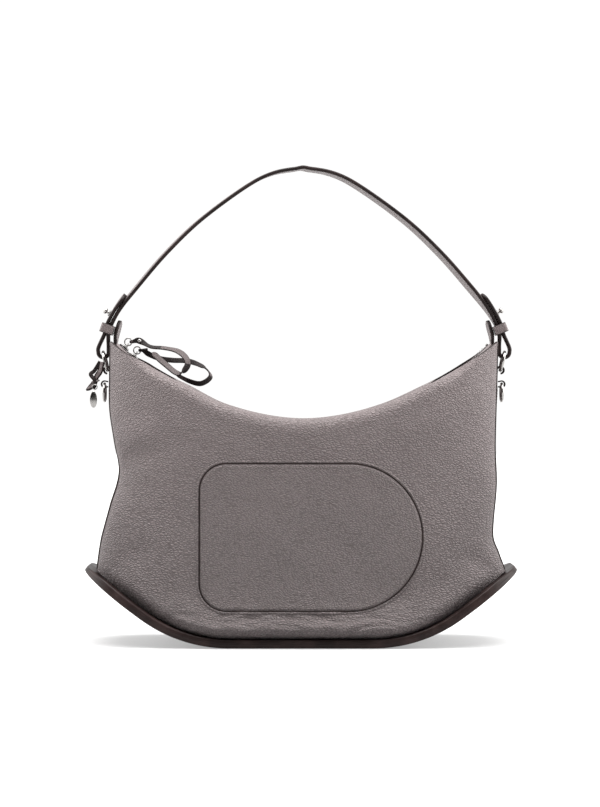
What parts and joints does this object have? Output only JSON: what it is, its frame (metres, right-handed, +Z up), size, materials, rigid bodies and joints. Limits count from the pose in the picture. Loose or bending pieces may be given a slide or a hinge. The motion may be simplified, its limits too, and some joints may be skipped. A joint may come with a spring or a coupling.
{
  "type": "hobo shoulder bag",
  "caption": "Slouchy leather shoulder bag with a curved base plank, double zip, ring-mounted strap and an inlaid front panel.",
  "frame": {"origin": "centre of the base plank's flat underside, on the surface that the bag stands on", "axes": "+X to the bag's right as seen from the front, -Y out of the front face, +Z up"},
  "size_m": [0.3778, 0.1266, 0.4176],
  "materials": {
    "leather": "pebbled grain, semi-matt",
    "plank": "layered leather with glossy edge paint",
    "board": "plain pressed board",
    "strap": "smooth-edged leather with dark edge paint",
    "dark_leather": "dark polished leather",
    "lining": "matt twill",
    "zip_cloth": "woven zip tape",
    "zip_metal": "dark polished teeth",
    "silver": "polished palladium colour"
  },
  "bodies": {
    "bag": {"base_plank": "plank", "base_stiffener": "board", "front_panel": "leather", "back_panel": "leather", "gusset_left": "leather", "gusset_right": "leather", "front_inlay_panel": "leather", "lining": "lining", "inner_pocket": "lining", "zip_band_front": "leather", "zip_band_back": "leather", "zip_tape_front": "zip_cloth", "zip_tape_back": "zip_cloth", "zip_teeth_front": "zip_metal", "zip_teeth_back": "zip_metal", "zip_stop_left": "silver", "zip_stop_right": "silver", "zip_ear_left": "leather", "zip_ear_right": "leather", "side_tab_left": "leather", "side_tab_right": "leather", "lower_loop_left": "leather", "lower_loop_right": "leather"},
    "handle": {"handle_strap": "strap", "strap_keeper_left": "leather", "strap_keeper_right": "leather", "strap_stud_left": "silver", "strap_stud_right": "silver"},
    "ring_left": {"upper_ring_left": "silver"},
    "ring_right": {"upper_ring_right": "silver"},
    "hanging_ring_left": {"lower_ring_left": "silver"},
    "hanging_ring_right": {"lower_ring_right": "silver"},
    "slider_a": {"zip_slider_a": "silver"},
    "slider_b": {"zip_slider_b": "silver"},
    "pull_a": {"pull_ring_a": "silver", "pull_lace_a": "leather", "pull_pin_a": "silver"},
    "pull_b": {"pull_ring_b": "silver", "pull_lace_b": "dark_leather"},
    "charm": {"charm_thong": "leather", "charm_link": "silver"},
    "tag": {"charm_tag": "silver"}
  },
  "joints": [
    {"name": "handle_swing", "type": "hinge", "parent": "bag", "child": "handle", "pos_m": [0.0025, 0, 0.2462], "axis": [1, 0, 0], "range_deg": [-45, 45]},
    {"name": "upper_ring_left_turn", "type": "hinge", "parent": "bag", "child": "ring_left", "pos_m": [-0.172, 0, 0.2462], "axis": [0.9744, 0, 0.225], "continuous": true},
    {"name": "upper_ring_right_turn", "type": "hinge", "parent": "bag", "child": "ring_right", "pos_m": [0.177, 0, 0.2462], "axis": [0.9744, 0, -0.225], "continuous": true},
    {"name": "lower_ring_left_swing", "type": "hinge", "parent": "bag", "child": "hanging_ring_left", "pos_m": [-0.17272, 0, 0.226], "axis": [0, 1, 0], "range_deg": [-2, 70]},
    {"name": "lower_ring_right_swing", "type": "hinge", "parent": "bag", "child": "hanging_ring_right", "pos_m": [0.17639, 0, 0.226], "axis": [0, -1, 0], "range_deg": [-2, 70]},
    {"name": "zip_slider_a_run", "type": "hinge", "parent": "bag", "child": "slider_a", "pos_m": [0.0025, 0, 0.4158], "axis": [0, -1, 0], "range_deg": [0, 0.6]},
    {"name": "zip_slider_b_run", "type": "hinge", "parent": "bag", "child": "slider_b", "pos_m": [0.0025, 0, 0.4158], "axis": [0, -1, 0], "range_deg": [0, 64]},
    {"name": "pull_a_swing", "type": "hinge", "parent": "slider_a", "child": "pull_a", "pos_m": [-0.15192, 0, 0.26316], "axis": [0, -1, 0], "range_deg": [0, 40]},
    {"name": "pull_b_swing", "type": "hinge", "parent": "slider_b", "child": "pull_b", "pos_m": [-0.14412, 0, 0.25579], "axis": [0, -1, 0], "range_deg": [0, 40]},
    {"name": "charm_swing", "type": "hinge", "parent": "bag", "child": "charm", "pos_m": [-0.174, -0.0124, 0.2452], "axis": [1, 0, 0], "range_deg": [-18, 12]},
    {"name": "tag_swing", "type": "hinge", "parent": "charm", "child": "tag", "pos_m": [-0.1799, -0.0176, 0.2233], "axis": [0, 1, 0], "range_deg": [-25, 25]}
  ]
}
